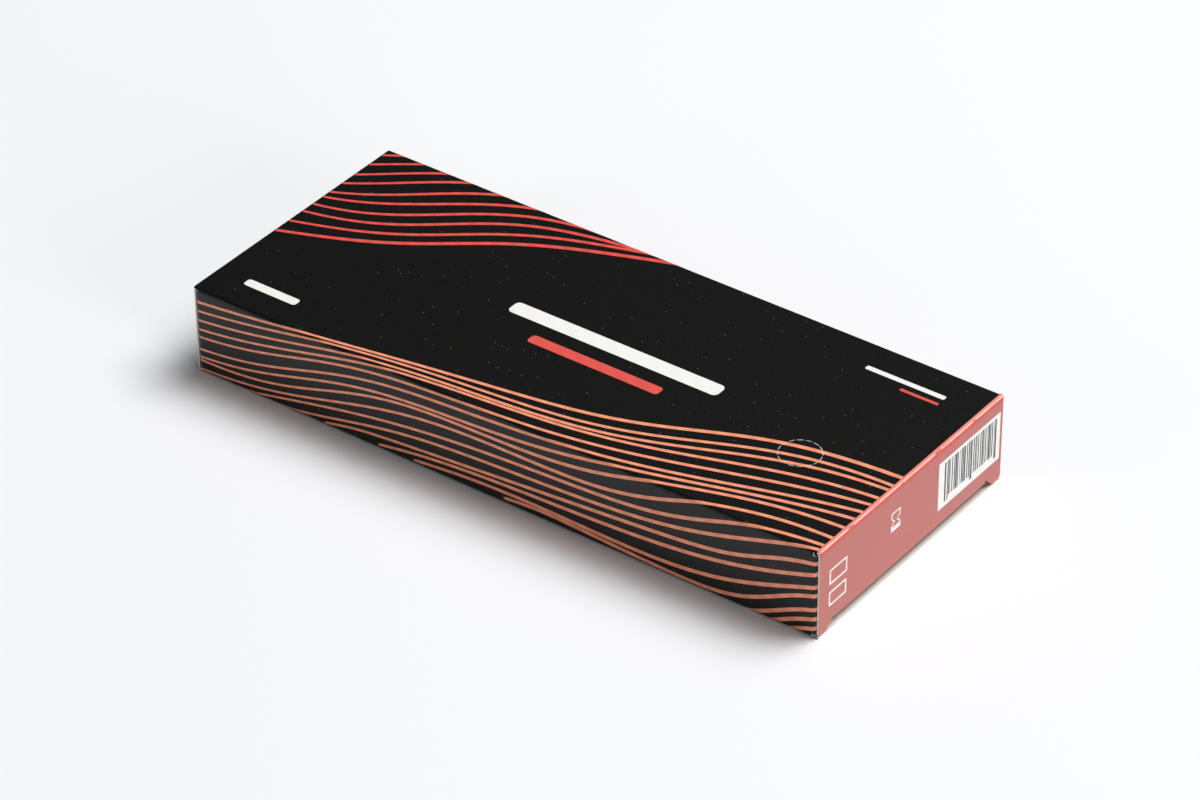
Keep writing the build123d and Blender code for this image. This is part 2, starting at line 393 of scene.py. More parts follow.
@dataclass(frozen=True)
class PrintedBoard:
    """Clay coated folding board, offset printed and sealed with a matt varnish.

    The ink is flat to the eye, broken by the faint mottle of the fibres below and by single pale specks of
    paper dust, under a dull sheen. Past a bleed line the board is left white.
    """

    name: str
    ink: str
    bare: str = "#E9E7E1"
    mottle: float = 0.7 * MM
    mottle_depth: float = 0.35
    speck_cell: float = 2.4 * MM
    speck_radius: float = 0.11 * MM
    speck_colour: str = "#9A9893"
    roughness: float = 0.4
    roughness_spread: float = 0.06
    specular: float = 0.3
    relief: float = 0.012 * MM

    def build(self, unprinted: Callable | None = None) -> bpy.types.Material:
        """Make the material.

        Args:
            unprinted: Function of the node tree and the object coordinates' socket that gives the socket of
                a mask, 1 where the board is bare.

        Returns:
            The material.
        """
        material, shader, coords = start_material(self.name)
        tree = material.node_tree
        mottle = add_node(
            tree,
            "ShaderNodeTexNoise",
            {"Vector": coords, "Scale": 1 / self.mottle, "Detail": 4.0, "Roughness": 0.65},
        )
        tone = add_node(
            tree,
            "ShaderNodeMapRange",
            {
                "Value": mottle.outputs["Fac"],
                "From Min": 0.3,
                "From Max": 0.7,
                "To Min": 1 - self.mottle_depth,
                "To Max": 1 + self.mottle_depth,
            },
        )
        ink = add_node(
            tree,
            "ShaderNodeMix",
            {"Factor": 1.0, "A": linear(self.ink), "B": tone.outputs["Result"]},
            data_type="RGBA",
            blend_type="MULTIPLY",
        )
        cells = add_node(tree, "ShaderNodeTexVoronoi", {"Vector": coords, "Scale": 1 / self.speck_cell})
        speck = add_node(
            tree,
            "ShaderNodeMath",
            {0: cells.outputs["Distance"], 1: self.speck_radius / self.speck_cell},
            operation="LESS_THAN",
        )
        colour = add_node(
            tree,
            "ShaderNodeMix",
            {"Factor": speck.outputs[0], "A": ink.outputs["Result"], "B": linear(self.speck_colour)},
            data_type="RGBA",
        ).outputs["Result"]
        if unprinted is not None:
            colour = add_node(
                tree,
                "ShaderNodeMix",
                {"Factor": unprinted(tree, coords), "A": colour, "B": linear(self.bare)},
                data_type="RGBA",
            ).outputs["Result"]
        tree.links.new(colour, shader.inputs["Base Color"])
        gloss = add_node(
            tree,
            "ShaderNodeMapRange",
            {
                "Value": mottle.outputs["Fac"],
                "To Min": self.roughness - self.roughness_spread,
                "To Max": self.roughness + self.roughness_spread,
            },
        )
        tree.links.new(gloss.outputs["Result"], shader.inputs["Roughness"])
        shader.inputs["Specular IOR Level"].default_value = self.specular
        bump = add_node(
            tree,
            "ShaderNodeBump",
            {"Height": mottle.outputs["Fac"], "Distance": self.relief, "Strength": 0.6},
        )
        tree.links.new(bump.outputs["Normal"], shader.inputs["Normal"])
        return material


@dataclass(frozen=True)
class BareBoard:
    """Unprinted face or cut edge of the board: matt white pulp with a soft fibre grain along the carton."""

    name: str
    colour: str = "#E7E6E0"
    shade: str = "#CFCCC2"
    fibre: float = 0.25 * MM
    stretch: float = 5.0
    relief: float = 0.03 * MM
    roughness: float = 0.85

    def build(self) -> bpy.types.Material:
        """Make the material."""
        material, shader, coords = start_material(self.name)
        tree = material.node_tree
        drawn = add_node(tree, "ShaderNodeMapping", {"Vector": coords, "Scale": (1 / self.stretch, 1, 1)})
        fibres = add_node(
            tree,
            "ShaderNodeTexNoise",
            {"Vector": drawn.outputs[0], "Scale": 1 / self.fibre, "Detail": 5.0, "Roughness": 0.7},
        )
        colour = add_node(
            tree,
            "ShaderNodeMix",
            {"Factor": fibres.outputs["Fac"], "A": linear(self.colour), "B": linear(self.shade)},
            data_type="RGBA",
        )
        tree.links.new(colour.outputs["Result"], shader.inputs["Base Color"])
        shader.inputs["Roughness"].default_value = self.roughness
        shader.inputs["Specular IOR Level"].default_value = 0.25
        bump = add_node(
            tree,
            "ShaderNodeBump",
            {"Height": fibres.outputs["Fac"], "Distance": self.relief, "Strength": 0.5},
        )
        tree.links.new(bump.outputs["Normal"], shader.inputs["Normal"])
        return material


@dataclass(frozen=True)
class PrintedInk:
    """Offset ink over white board, under the same matt varnish.

    The tint drifts by a small share, its depth, in slanting bands that are broken by a finer grain.
    """

    name: str
    colour: str
    bands: float = 4.887 * MM
    grain: float = 0.5 * MM
    depth: float = 0.10
    roughness: float = 0.45
    specular: float = 0.42

    def build(self) -> bpy.types.Material:
        """Make the material."""
        material, shader, coords = start_material(self.name)
        tree = material.node_tree
        rows = add_node(
            tree,
            "ShaderNodeTexWave",
            {"Vector": coords, "Scale": DIAGONAL_WAVE / self.bands, "Distortion": 0.6, "Detail": 1.0},
            wave_type="BANDS",
            bands_direction="DIAGONAL",
        )
        grain = add_node(
            tree, "ShaderNodeTexNoise", {"Vector": coords, "Scale": 1 / self.grain, "Detail": 3.0}
        )
        mixed = add_node(
            tree, "ShaderNodeMath", {0: rows.outputs["Fac"], 1: grain.outputs["Fac"]}, operation="MULTIPLY"
        )
        tone = add_node(
            tree,
            "ShaderNodeMapRange",
            {
                "Value": mixed.outputs[0],
                "From Max": 0.6,
                "To Min": 1 - self.depth,
                "To Max": 1 + self.depth,
            },
        )
        colour = add_node(
            tree,
            "ShaderNodeMix",
            {"Factor": 1.0, "A": linear(self.colour), "B": tone.outputs["Result"]},
            data_type="RGBA",
            blend_type="MULTIPLY",
        )
        tree.links.new(colour.outputs["Result"], shader.inputs["Base Color"])
        shader.inputs["Roughness"].default_value = self.roughness
        shader.inputs["Specular IOR Level"].default_value = self.specular
        return material


@dataclass(frozen=True)
class CrackedCrease:
    """Printed board bent sharply at a crease: the ink opens in fine white cracks along the fold.

    Reads the piece's own map, with the first coordinate along the crease in metres and the second from 0 on
    the panel to 1 on the closure. Over the panel and the bend the ink is painted lighter, a painted highlight
    where the fold catches the light; down the closure it turns to the deep, plain ink.
    """

    name: str
    # Painted highlight: ink is the print painted lighter over the panel and the bend; deep is the plain print.
    ink: str
    deep: str
    crack: str = "#F3E6DD"
    grain: float = 1.6 * MM
    patch: float = 6.4 * MM

    def build(self) -> bpy.types.Material:
        """Make the material."""
        material, shader, _ = start_material(self.name)
        tree = material.node_tree
        fold = add_node(tree, "ShaderNodeUVMap", uv_map="fold").outputs["UV"]
        across = add_node(tree, "ShaderNodeSeparateXYZ", {"Vector": fold})
        fine = add_node(tree, "ShaderNodeMapping", {"Vector": fold, "Scale": (1, 0.002, 1)})
        drift = add_node(
            tree,
            "ShaderNodeTexNoise",
            {"Vector": fine.outputs[0], "Scale": 1 / self.grain, "Detail": 4.0},
        )
        wander = add_node(
            tree,
            "ShaderNodeMath",
            {0: drift.outputs["Fac"], 1: 0.16, 2: across.outputs["Y"]},
            operation="MULTIPLY_ADD",
        )
        line = add_node(
            tree, "ShaderNodeMath", {0: wander.outputs[0], 1: 0.50, 2: 0.045}, operation="COMPARE"
        )
        coarse = add_node(tree, "ShaderNodeMapping", {"Vector": fold, "Scale": (1, 0.01, 1)})
        patchy = add_node(
            tree,
            "ShaderNodeTexNoise",
            {"Vector": coarse.outputs[0], "Scale": 1 / self.patch, "Detail": 3.0},
        )
        strength = add_node(
            tree,
            "ShaderNodeMapRange",
            {
                "Value": patchy.outputs["Fac"],
                "From Min": 0.35,
                "From Max": 0.6,
                "To Min": 0.25,
                "To Max": 0.95,
            },
        )
        crack = add_node(
            tree,
            "ShaderNodeMath",
            {0: line.outputs[0], 1: strength.outputs["Result"]},
            operation="MULTIPLY",
        )
        # Painted highlight: lighter ink over the panel and the bend, turning to the plain deep ink down the
        # closure.
        turn = add_node(
            tree,
            "ShaderNodeMapRange",
            {"Value": across.outputs["Y"], "From Min": 0.52, "From Max": 0.66},
        )
        ink = add_node(
            tree,
            "ShaderNodeMix",
            {"Factor": turn.outputs["Result"], "A": linear(self.ink), "B": linear(self.deep)},
            data_type="RGBA",
        )
        colour = add_node(
            tree,
            "ShaderNodeMix",
            {"Factor": crack.outputs[0], "A": ink.outputs["Result"], "B": linear(self.crack)},
            data_type="RGBA",
        )
        tree.links.new(colour.outputs["Result"], shader.inputs["Base Color"])
        shader.inputs["Roughness"].default_value = 0.5
        return material


@dataclass(frozen=True)
class FoilLaminate:
    """Aluminium foil laminate: bright metal under a thin clear film, broken by sharp small creases."""

    name: str = "foil_laminate"
    colour: str = "#C9CBCD"
    shade: str = "#B4B7BA"
    crease: float = 5.0 * MM
    crease_depth: float = 0.25 * MM
    grain: float = 0.4 * MM

    def build(self) -> bpy.types.Material:
        """Make the material."""
        material, shader, coords = start_material(self.name)
        tree = material.node_tree
        creases = add_node(
            tree, "ShaderNodeTexVoronoi", {"Vector": coords, "Scale": 1 / self.crease}, feature="F1"
        )
        grain = add_node(
            tree, "ShaderNodeTexNoise", {"Vector": coords, "Scale": 1 / self.grain, "Detail": 4.0}
        )
        tone = add_node(
            tree,
            "ShaderNodeMix",
            {"Factor": grain.outputs["Fac"], "A": linear(self.colour), "B": linear(self.shade)},
            data_type="RGBA",
        )
        tree.links.new(tone.outputs["Result"], shader.inputs["Base Color"])
        gloss = add_node(
            tree,
            "ShaderNodeMapRange",
            {"Value": grain.outputs["Fac"], "To Min": 0.24, "To Max": 0.38},
        )
        tree.links.new(gloss.outputs["Result"], shader.inputs["Roughness"])
        shader.inputs["Metallic"].default_value = 0.9
        bump = add_node(
            tree,
            "ShaderNodeBump",
            {"Height": creases.outputs["Distance"], "Distance": self.crease_depth, "Strength": 0.5},
        )
        tree.links.new(bump.outputs["Normal"], shader.inputs["Normal"])
        return material


@dataclass(frozen=True)
class MouldedPlastic:
    """Injection moulded polyethylene: waxy, slightly cloudy, with a soft mould grain."""

    name: str
    colour: str
    roughness: float
    cloud: str = "#DADDDD"
    transmission: float = 0.0
    subsurface: float = 0.2
    scatter: float = 1.5 * MM

    def build(self) -> bpy.types.Material:
        """Make the material."""
        material, shader, coords = start_material(self.name)
        tree = material.node_tree
        cloud = add_node(tree, "ShaderNodeTexNoise", {"Vector": coords, "Scale": 1 / (3 * MM), "Detail": 3.0})
        colour = add_node(
            tree,
            "ShaderNodeMix",
            {"Factor": cloud.outputs["Fac"], "A": linear(self.colour), "B": linear(self.cloud)},
            data_type="RGBA",
        )
        tree.links.new(colour.outputs["Result"], shader.inputs["Base Color"])
        shader.inputs["Roughness"].default_value = self.roughness
        shader.inputs["Transmission Weight"].default_value = self.transmission
        shader.inputs["Subsurface Weight"].default_value = self.subsurface
        shader.inputs["Subsurface Scale"].default_value = self.scatter
        grain = add_node(
            tree, "ShaderNodeTexNoise", {"Vector": coords, "Scale": 1 / (0.3 * MM), "Detail": 2.0}
        )
        bump = add_node(
            tree,
            "ShaderNodeBump",
            {"Height": grain.outputs["Fac"], "Distance": 0.01 * MM, "Strength": 0.4},
        )
        tree.links.new(bump.outputs["Normal"], shader.inputs["Normal"])
        return material


def beyond(
    tree: bpy.types.NodeTree, value: bpy.types.NodeSocket, limit: float, softness: float = 0.05 * MM
) -> bpy.types.NodeSocket:
    """Add a soft threshold.

    Args:
        tree: Node tree.
        value: Socket of the value.
        limit: Value at which the mask is one half.
        softness: Half the width of the change.

    Returns:
        Socket of a mask that is 1 well above the limit.
    """
    return add_node(
        tree,
        "ShaderNodeMapRange",
        {"Value": value, "From Min": limit - softness, "From Max": limit + softness},
    ).outputs["Result"]


# Printed lines


def settle(s: np.ndarray, at: float, spread: float) -> np.ndarray:
    """Logistic step of height 1 about a place, less what it already holds at 0."""
    return 1 / (1 + np.exp((at - s) / spread)) - 1 / (1 + math.exp(at / spread))


@dataclass(frozen=True)
class WavyLine:
    """One printed line, in millimetres on the unrolled board.

    Its level is where it starts at the left end, plus a first and a second logistic step, plus a steady drift
    in millimetres over 100 along the carton.
    """

    left: float
    swell: float
    climb: float
    drift: float
    climb_at: float
    climb_spread: float
    swell_at: float = 42.0
    swell_spread: float = 16.0
    starts: float | None = None
    weight: float = 1.0

    def level(self, s: np.ndarray) -> np.ndarray:
        """Level of the line.

        Args:
            s: Places along the carton.

        Returns:
            Levels across the unrolled board.
        """
        first = self.swell * settle(s, self.swell_at, self.swell_spread)
        second = self.climb * settle(s, self.climb_at, self.climb_spread)
        return self.left + first + second + self.drift * s / 100


@dataclass(frozen=True)
class LineFamily:
    """Printed lines of one ink that run side by side.

    width is the full width of a line, of which left_share is left at the left end and the whole from
    full_from on, in millimetres.
    """

    name: str
    ink: PrintedInk
    lines: tuple[WavyLine, ...]
    width: float
    left_share: float
    full_from: float
    lowest: float

    def half_width(self, line: WavyLine, s: np.ndarray) -> np.ndarray:
        """Half the printed width: a smooth step from the left end's share to the whole."""
        share = self.left_share + (1 - self.left_share) * ease(s / self.full_from)
        return self.width * line.weight / 2 * share


ORANGE_LINES = LineFamily(
    "orange_lines",
    PrintedInk("orange_ink", "#F59A76"),
    (
        WavyLine(-4.5, 18, 24, 2.5, 151, 14.5, swell_at=54, swell_spread=30, weight=1.2),
        WavyLine(-7.5, 35.5, 38, -10, 155, 18, swell_at=37, swell_spread=30),
        WavyLine(-10.5, 33, 41, -10, 158, 20, swell_at=37, swell_spread=26),
        WavyLine(-13.5, 34, 40, -10, 162, 23, swell_at=38, swell_spread=25),
        WavyLine(-16.0, 21.5, 41, -5.5, 165, 27, swell_at=34, swell_spread=17),
        WavyLine(-20.0, 21.5, 39, -4, 173, 27, swell_at=37, swell_spread=16),
        WavyLine(-22.5, 24.5, 45.5, -8.5, 167, 29, swell_at=35, swell_spread=17),
        WavyLine(-23.5, 26.5, 35.5, -10, 161, 20, swell_at=44, swell_spread=16),
        WavyLine(-26.5, 31.5, 28, -10, 166, 15, swell_at=47, swell_spread=21),
        WavyLine(-31.0, 27.5, 16, 0, 175, 12, swell_at=29, swell_spread=30),
        WavyLine(-30.0, 11, 20, 3, 188, 17, swell_at=51, swell_spread=14),
        WavyLine(-31.5, 3, 8, 8.5, 189, 7, swell_at=47, swell_spread=5, starts=44),
        WavyLine(-35.0, 13, 28, 1.5, 210, 20, swell_at=52, swell_spread=17, starts=62.5),
        WavyLine(-27.0, 12.5, 28.5, -7, 197, 16, swell_at=75, swell_spread=17, starts=74.5),
        WavyLine(-21.5, 3, 18, -5, 193, 8, swell_at=108, swell_spread=5, starts=105),
        WavyLine(-22.5, 0, 18, -5, 194, 8, starts=165),
        WavyLine(-25.5, 0, 18, -5, 194, 8, starts=165),
        WavyLine(-28.5, 0, 18, -5, 194, 8, starts=165),
    ),
    width=1.15,
    left_share=0.6,
    full_from=190,
    lowest=-28.1,
)

RED_LINES = LineFamily(
    "red_lines",
    PrintedInk("red_ink", "#E4544A"),
    (
        WavyLine(35.0, 15.5, 0, 36, 0, 1, swell_at=44.5, swell_spread=10, weight=1.2),
        WavyLine(41.0, 19, 0, 29, 0, 1, swell_at=42, swell_spread=10),
        WavyLine(47.0, 29.5, 0, 12, 0, 1, swell_at=37, swell_spread=11),
        WavyLine(51.5, 39, 0, 0, 0, 1, swell_at=33, swell_spread=12.5),
        WavyLine(56.0, 40, 0, 0, 0, 1, swell_at=28.5, swell_spread=13.5),
        WavyLine(59.0, 22, 0, 25, 0, 1, swell_at=22, swell_spread=10),
        WavyLine(64.5, 20, 0, 30, 0, 1, swell_at=14, swell_spread=10),
        WavyLine(70.0, 18, 0, 30, 0, 1, swell_at=8, swell_spread=9),
        WavyLine(76.5, 16, 0, 30, 0, 1, swell_at=4, swell_spread=9),
        WavyLine(82.5, 12, 0, 30, 0, 1, swell_at=2, swell_spread=9),
    ),
    width=1.22,
    left_share=0.78,
    full_from=30,
    lowest=0,
)


@dataclass(frozen=True)
class InkStrips:
    """Lays printed lines on the board as thin closed strips that follow it round the folds."""

    skin: BoardSkin
    step: float = 0.8 * MM
    end_step: float = 0.12 * MM
    end_zone: float = 3.0 * MM
    columns: int = 4
    thickness: float = 0.02 * MM
    crease_margin: float = 1.05 * MM
    cut_margin: float = 0.12 * MM
    fold_foot: float = 1.7 * MM
    tip: float = 1.2 * MM

    def limits(self, v: np.ndarray) -> tuple[np.ndarray, np.ndarray]:
        """How far the ink goes along the carton at each level.

        On the top it stops at the cut on the left and before the crease on the right. On the side panels it
        goes on round the upright folds.

        Args:
            v: Places across the carton.

        Returns:
            Lowest and highest place along the carton.
        """
        c = self.skin.sizes
        panel = (v < -self.fold_foot) & (v > self.fold_foot - c.height)
        panel |= (v > c.width + self.fold_foot) & (v < c.width + c.height - self.fold_foot)
        over = c.bend + c.end_fold * math.pi / 2 - c.end
        low = np.where(panel, -over, self.cut_margin)
        high = np.where(panel, c.length + over, c.length - self.crease_margin)
        return low, high

    def strip(self, parts: MeshParts, s: np.ndarray, v: np.ndarray, half: np.ndarray) -> None:
        """Add one line.

        The line's points are spread to both sides along its normal in the unrolled plane, clipped to the
        limits along the carton and carried round the folds at two heights.

        Args:
            parts: Mesh that takes the strip.
            s: Places of its middle along the carton.
            v: Places of its middle across the carton.
            half: Half its width at each place.
        """
        slope = np.gradient(v, s)
        size = np.hypot(1, slope)
        across = np.linspace(-1, 1, self.columns + 1)[None, :]
        wide_s = s[:, None] - across * (half * slope / size)[:, None]
        wide_v = v[:, None] + across * (half / size)[:, None]
        wide_s = np.clip(wide_s, *self.limits(wide_v))
        top = self.skin.point(wide_s, wide_v, self.thickness)
        base = self.skin.point(wide_s, wide_v, 0.0)
        parts.add_tube(np.concatenate([top, base[:, ::-1]], axis=1))

    def family(self, family: LineFamily) -> bpy.types.Object:
        """Add every line of a family as one piece.

        Args:
            family: The lines and their ink.

        Returns:
            The piece.
        """
        c = self.skin.sizes
        parts = MeshParts()
        over = c.bend + c.end_fold * math.pi / 2 - c.end
        highest = c.width + c.height + 0.6 * MM
        along = np.concatenate(
            [
                np.arange(-over, self.end_zone, self.end_step),
                np.arange(self.end_zone, c.length - self.end_zone, self.step),
                np.arange(c.length - self.end_zone, c.length + over, self.end_step),
                [c.length + over],
            ]
        )
        for line in family.lines:
            level = line.level(along / MM) * MM
            low, high = self.limits(level)
            kept = (level > family.lowest * MM) & (level < highest) & (along >= low) & (along <= high)
            if line.starts is not None:
                kept &= along > line.starts * MM
            s, v = along[kept], level[kept]
            if len(s) < 3:
                continue
            half = family.half_width(line, s / MM) * MM
            if line.starts is not None:
                share = np.clip((s - s[0]) / self.tip, 0, 1)
                half = half * np.sqrt(1 - (1 - share) ** 2) + self.thickness
            self.strip(parts, s, v, half)
        return parts.build(family.name, family.ink.build())


@dataclass
class PrintedSleeve:
    """The carton's tube: its board faces and everything printed on its top, front and back."""

    sizes: CartonSizes
    ink: PrintedBoard = PrintedBoard("black_print", "#0B0A09")
    bleed: float = 5.0 * MM
    ink_height: float = 0.02 * MM

    def dress(self, node: bpy.types.Object) -> None:
        """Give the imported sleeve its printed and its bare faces.

        A face is printed when its middle lies within a tenth of a millimetre of the outside of the tube, or
        of the dust flaps' folds seen from above, and it faces outwards.

        Args:
            node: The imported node's object.
        """
        c = self.sizes
        near = 0.1 * MM

        def outside(a: np.ndarray, b: np.ndarray, half: tuple[float, float], radius: float) -> np.ndarray:
            """Signed distance from the outline of a rounded rectangle about the origin."""
            qa, qb = np.abs(a) - half[0] + radius, np.abs(b) - half[1] + radius
            corner = np.hypot(np.clip(qa, 0, None), np.clip(qb, 0, None))
            return corner + np.minimum(np.maximum(qa, qb), 0) - radius

        def bare(middle: np.ndarray, normal: np.ndarray) -> np.ndarray:
            """Tell which faces carry no print."""
            x, y, z = middle
            nx, ny, nz = normal
            half_height = c.height / 2
            level = z - half_height
            on_tube = outside(y, level, (c.side, half_height), c.fold) > -near
            side_out = ny * np.sign(y) * (np.abs(y) > c.side - c.fold) > 0.3
            flat_out = nz * np.sign(level) * (np.abs(level) > half_height - c.fold) > 0.3
            on_flap = outside(x, y, (c.end - c.end_set_back, c.side), c.end_fold) > -near
            flap_out = (nx * np.sign(x) > 0.05) | (ny * np.sign(y) > 0.3)
            between = np.abs(level) < half_height - c.board - near
            printed = on_tube & (side_out | flat_out) & (np.abs(nx) < 0.5)
            printed |= on_flap & flap_out & between & (np.abs(nz) < 0.5)
            return ~printed

        dress_faces(node, (self.ink.build(self.unprinted), BareBoard("bare_board").build()), bare)

    def unprinted(self, tree: bpy.types.NodeTree, coords: bpy.types.NodeSocket) -> bpy.types.NodeSocket:
        """Mask of the bare board on the dust flaps, past the bleed of the ink round their folds."""
        c = self.sizes
        axes = add_node(tree, "ShaderNodeSeparateXYZ", {"Vector": coords})
        across = add_node(tree, "ShaderNodeMath", {0: axes.outputs["Y"]}, operation="ABSOLUTE")
        inner = add_node(
            tree,
            "ShaderNodeMath",
            {0: 1.0, 1: beyond(tree, across.outputs[0], c.side - self.bleed)},
            operation="SUBTRACT",
        )
        along = add_node(tree, "ShaderNodeMath", {0: axes.outputs["X"]}, operation="ABSOLUTE")
        at_end = beyond(tree, along.outputs[0], c.end - c.end_set_back - 0.1 * MM)
        high = add_node(tree, "ShaderNodeMath", {0: axes.outputs["Z"], 1: c.height / 2}, operation="SUBTRACT")
        level = add_node(tree, "ShaderNodeMath", {0: high.outputs[0]}, operation="ABSOLUTE")
        middle = add_node(
            tree,
            "ShaderNodeMath",
            {0: 1.0, 1: beyond(tree, level.outputs[0], c.height / 2 - 2 * c.board)},
            operation="SUBTRACT",
        )
        first = add_node(tree, "ShaderNodeMath", {0: inner.outputs[0], 1: at_end}, operation="MULTIPLY")
        bare = add_node(
            tree, "ShaderNodeMath", {0: first.outputs[0], 1: middle.outputs[0]}, operation="MULTIPLY"
        )
        return bare.outputs[0]

    def place_top(self, a: np.ndarray, b: np.ndarray, height: float) -> np.ndarray:
        """Put flat coordinates, along from the left end and across from the front edge, on the top panel."""
        c = self.sizes
        level = np.full_like(a, c.height + height)
        return np.stack([a - c.end, b - c.side, level], -1)

    def lines(self, skin: BoardSkin) -> list[bpy.types.Object]:
        """Print both families of lines."""
        strips = InkStrips(skin)
        return [strips.family(ORANGE_LINES), strips.family(RED_LINES)]

    def fields(self) -> list[bpy.types.Object]:
        """Print the plain rounded bars of the top panel."""
        white = PrintedInk("white_ink", "#F4F3F0", depth=0.02).build()
        red = PrintedInk("red_field_ink", "#E2564D", depth=0.04).build()
        pale, warm = MeshParts(), MeshParts()
        for parts, middle, size in (
            (pale, (110.5, 43.6), (69.0, 5.2)),
            (pale, (19.0, 10.6), (18.0, 3.0)),
            (pale, (182.0, 75.6), (25.0, 1.7)),
            (warm, (110.5, 34.2), (43.0, 3.6)),
            (warm, (188.5, 72.2), (12.0, 1.1)),
        ):
            outline = rounded_outline(size[0] * MM, size[1] * MM, min(size) * 0.3 * MM)
            outline = outline + np.array(middle) * MM
            parts.add_plate([outline], self.place_top, self.ink_height)
        return [pale.build("white_bars", white), warm.build("red_bars", red)]


@dataclass
class PushOutCircle:
    """Broken cut round the disc in the top panel: short slits with raised pale fibres."""

    sizes: CartonSizes
    from_end: float = 28.5 * MM
    from_front: float = 33.0 * MM
    radius: float = 5.9 * MM
    cuts: int = 16
    nick: float = 0.5 * MM
    slit: float = 0.1 * MM
    rise: float = 0.03 * MM

    def build(self) -> bpy.types.Object:
        """Make the burr: a thin arc along each cut, wider in its middle.

        Returns:
            The piece.
        """
        c = self.sizes
        centre = np.array([c.end - self.from_end, self.from_front - c.side])
        sweep = 2 * math.pi / self.cuts - self.nick / self.radius
        parts = MeshParts()
        for cut in range(self.cuts):
            start = (cut + 0.5) * 2 * math.pi / self.cuts - sweep / 2
            angle = start + np.linspace(0, sweep, 9)
            bulge = 0.5 + 0.5 * np.sin(np.linspace(0, math.pi, 9))
            rings = []
            for offset, height in ((-1, 0.0), (-1, 1.0), (1, 1.0), (1, 0.0)):
                reach = self.radius + offset * self.slit * bulge
                x = centre[0] + reach * np.cos(angle)
                y = centre[1] + reach * np.sin(angle)
                z = np.full_like(x, c.height + self.rise * height)
                rings.append(np.stack([x, y, z], -1))
            parts.add_tube(np.stack(rings, axis=1))
        fibres = PrintedInk("slit_fibres", "#D8DDD8", depth=0.2).build()
        return parts.build("push_out_circle", fibres)


@dataclass
class Crease:
    """The bent board between a panel and its closure, as one soft strip over the bead.

    Seen along Y it runs flat on the panel, turns through a quarter circle about the hinge and runs down the
    closure. Its radius wavers by a few hundredths of a millimetre along the fold, as a crease's does.
    """

    sizes: CartonSizes
    right: bool
    name: str
    ink: CrackedCrease
    on_panel: float = 0.62 * MM
    on_closure: float = 1.1 * MM
    inset: float = 0.45 * MM
    lift: float = 0.02 * MM
    waver: float = 0.035 * MM
    waver_lengths: tuple[float, float] = (3.1 * MM, 1.3 * MM)
    stays: float = 0.2 * MM
    columns: int = 160

    def section(self) -> tuple[np.ndarray, np.ndarray, np.ndarray]:
        """Section of the strip as if at the right end.

        Returns:
            Distances outwards and upwards from the hinge, and the share of the way across.
        """
        radius = self.sizes.board + self.lift
        turn = np.linspace(0, math.pi / 2, 11)
        flat = np.full(4, radius)
        on_panel = np.linspace(-self.on_panel, 0, len(flat) + 1)[:-1]
        on_closure = np.linspace(0, -self.on_closure, len(flat) + 1)[1:]
        out = np.concatenate([on_panel, radius * np.sin(turn), flat])
        up = np.concatenate([flat, radius * np.cos(turn), on_closure])
        length = np.concatenate([[0], np.cumsum(np.hypot(np.diff(out), np.diff(up)))])
        return out, up, length / length[-1]

    def build(self) -> bpy.types.Object:
        """Make the strip as a closed sheet of small thickness.

        Returns:
            The piece, bending between the carton and its closure.
        """
        c = self.sizes
        out, up, share = self.section()
        along = np.linspace(self.inset - c.side, c.side - self.inset, self.columns)
        phase = 1.0 if self.right else 2.3
        slow, fast = self.waver_lengths
        waves = np.sin(along / slow + phase) + 0.6 * np.sin(along / fast + 2 * phase)
        swell = 1 + self.waver / c.board * 0.5 * waves[:, None] * np.sin(math.pi * share)[None, :] ** 2
        inner = 1 - self.lift / (c.board + self.lift)
        rings = []
        for scale in (swell, swell * inner):
            x, z = out[None, :] * scale, up[None, :] * scale
            x = np.where(up[None, :] < 0, out[None, :] * (scale / swell), x)
            y = np.broadcast_to(along[:, None], x.shape)
            rings.append(np.stack([x, y, z], -1))
        grid = np.concatenate([rings[0], rings[1][:, ::-1]], axis=1)
        sign = 1 if self.right else -1
        hinge = np.array([sign * (c.end - c.board), 0, c.height - c.board if self.right else c.board])
        grid = grid * np.array([sign, 1, sign]) + hinge
        rows, around, _ = grid.shape
        index = np.arange(rows * around).reshape(rows, around)
        ahead = np.roll(index, -1, axis=1)
        quads = np.stack([index[:-1], index[1:], ahead[1:], ahead[:-1]], -1).reshape(-1, 4).tolist()
        faces = [tuple(quad) for quad in quads] + [tuple(index[0].tolist()), tuple(index[-1, ::-1].tolist())]
        piece = make_piece(self.name, grid.reshape(-1, 3), faces, self.ink.build(), smooth=True)
        mesh = piece.data
        shares = np.concatenate([share, share[::-1]])
        corner = np.empty(len(mesh.loops), dtype=np.int64)
        mesh.loops.foreach_get("vertex_index", corner)
        uv = np.stack([along[corner // around], shares[corner % around]], -1)
        mesh.uv_layers.new(name="fold").data.foreach_set("uv", uv.ravel())
        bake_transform(piece)
        return piece


